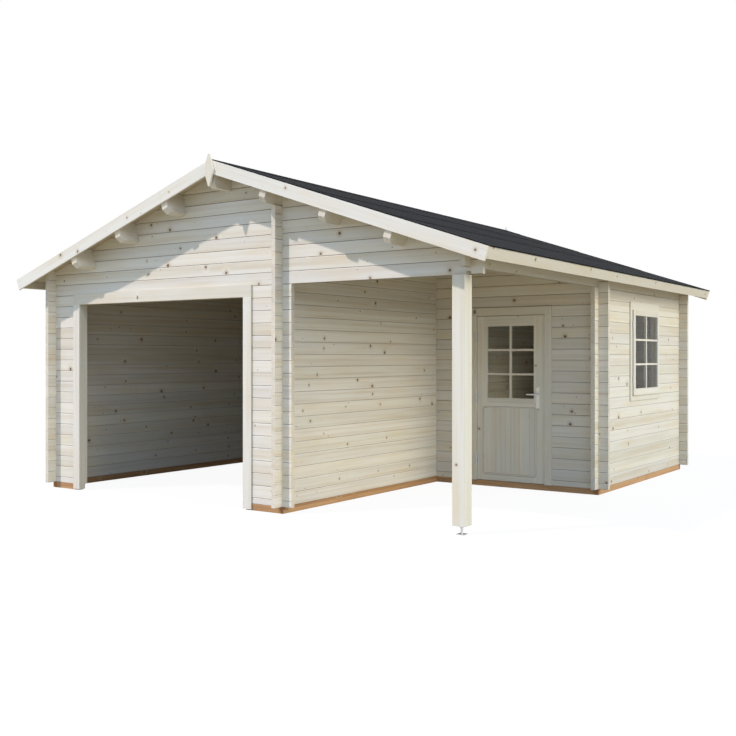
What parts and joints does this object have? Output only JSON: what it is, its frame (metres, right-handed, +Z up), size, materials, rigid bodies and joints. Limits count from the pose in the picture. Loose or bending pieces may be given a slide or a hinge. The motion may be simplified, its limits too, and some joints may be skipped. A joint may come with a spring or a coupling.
{
  "type": "wooden garage",
  "caption": "Gabled log garage with an open drive-in doorway, and beside it a carport bay with a post and a lockable store room behind it.",
  "frame": {"origin": "on the ground, under the ridge and midway along the roof's length", "axes": "-Y is the front, with the drive-in doorway and the carport; +Y along the ridge to the back; +X to the right, the carport's side; +Z up"},
  "size_m": [5.686, 6.077, 3.2543],
  "materials": {
    "log_walls_across": "sawn, unpainted",
    "log_walls_along": "sawn, unpainted",
    "roof_timber": "sawn, unpainted",
    "roof_boards": "planed, unpainted",
    "roof_trim": "planed, unpainted",
    "roof_felt": "matt, finely grained",
    "foundation_timber": "pressure treated, rough",
    "post_timber": "planed, unpainted",
    "casing_timber": "planed, unpainted",
    "joinery_timber": "planed, unpainted",
    "panel_timber": "planed, unpainted",
    "clear_glass": "clear",
    "galvanised_steel": "galvanised",
    "handle_steel": "satin"
  },
  "bodies": {
    "building": {"front_wall_left": "log_walls_across", "front_wall_right": "log_walls_across", "front_gable": "log_walls_across", "back_wall": "log_walls_across", "store_front_left": "log_walls_across", "store_front_right": "log_walls_across", "log_over_door": "log_walls_across", "store_front_over_door": "log_walls_across", "left_wall": "log_walls_along", "right_wall": "log_walls_along", "partition_wall": "log_walls_along", "carport_side_beam": "log_walls_along", "foundation_long_beams": "foundation_timber", "foundation_cross_beams": "foundation_timber", "carport_post": "post_timber", "post_foot": "galvanised_steel", "ridge_purlin": "roof_timber", "purlins_left": "roof_timber", "purlins_right": "roof_timber", "roof_boards_left": "roof_boards", "roof_boards_right": "roof_boards", "roof_felt_left": "roof_felt", "roof_felt_right": "roof_felt", "eave_fascia_left": "roof_trim", "eave_fascia_right": "roof_trim", "bargeboards_front": "roof_trim", "bargeboards_back": "roof_trim", "finial_front": "roof_trim", "finial_back": "roof_trim", "garage_lining": "casing_timber", "garage_casing": "casing_timber", "garage_inner_trim": "casing_timber", "door_frame": "joinery_timber", "door_casing": "casing_timber", "hinge_frame_halves": "galvanised_steel", "window_frame": "joinery_timber", "window_casing": "casing_timber", "window_sash": "joinery_timber", "window_glass": "clear_glass"},
    "door": {"door_leaf": "joinery_timber", "door_panel": "panel_timber", "door_glass": "clear_glass", "lock_plates": "handle_steel", "hinge_leaf_halves": "galvanised_steel"},
    "handle": {"door_handle": "handle_steel"}
  },
  "joints": [
    {"name": "door_hinge", "type": "hinge", "parent": "building", "child": "door", "pos_m": [1.1625, -0.0655, 0.95], "axis": [0, 0, -1], "range_deg": [0, 105]},
    {"name": "handle_turn", "type": "hinge", "parent": "door", "child": "handle", "pos_m": [1.883, -0.0205, 1.01], "axis": [0, -1, 0], "range_deg": [0, 35], "stiffness_Nm_per_rad": 2, "springref_deg": -17.19}
  ]
}
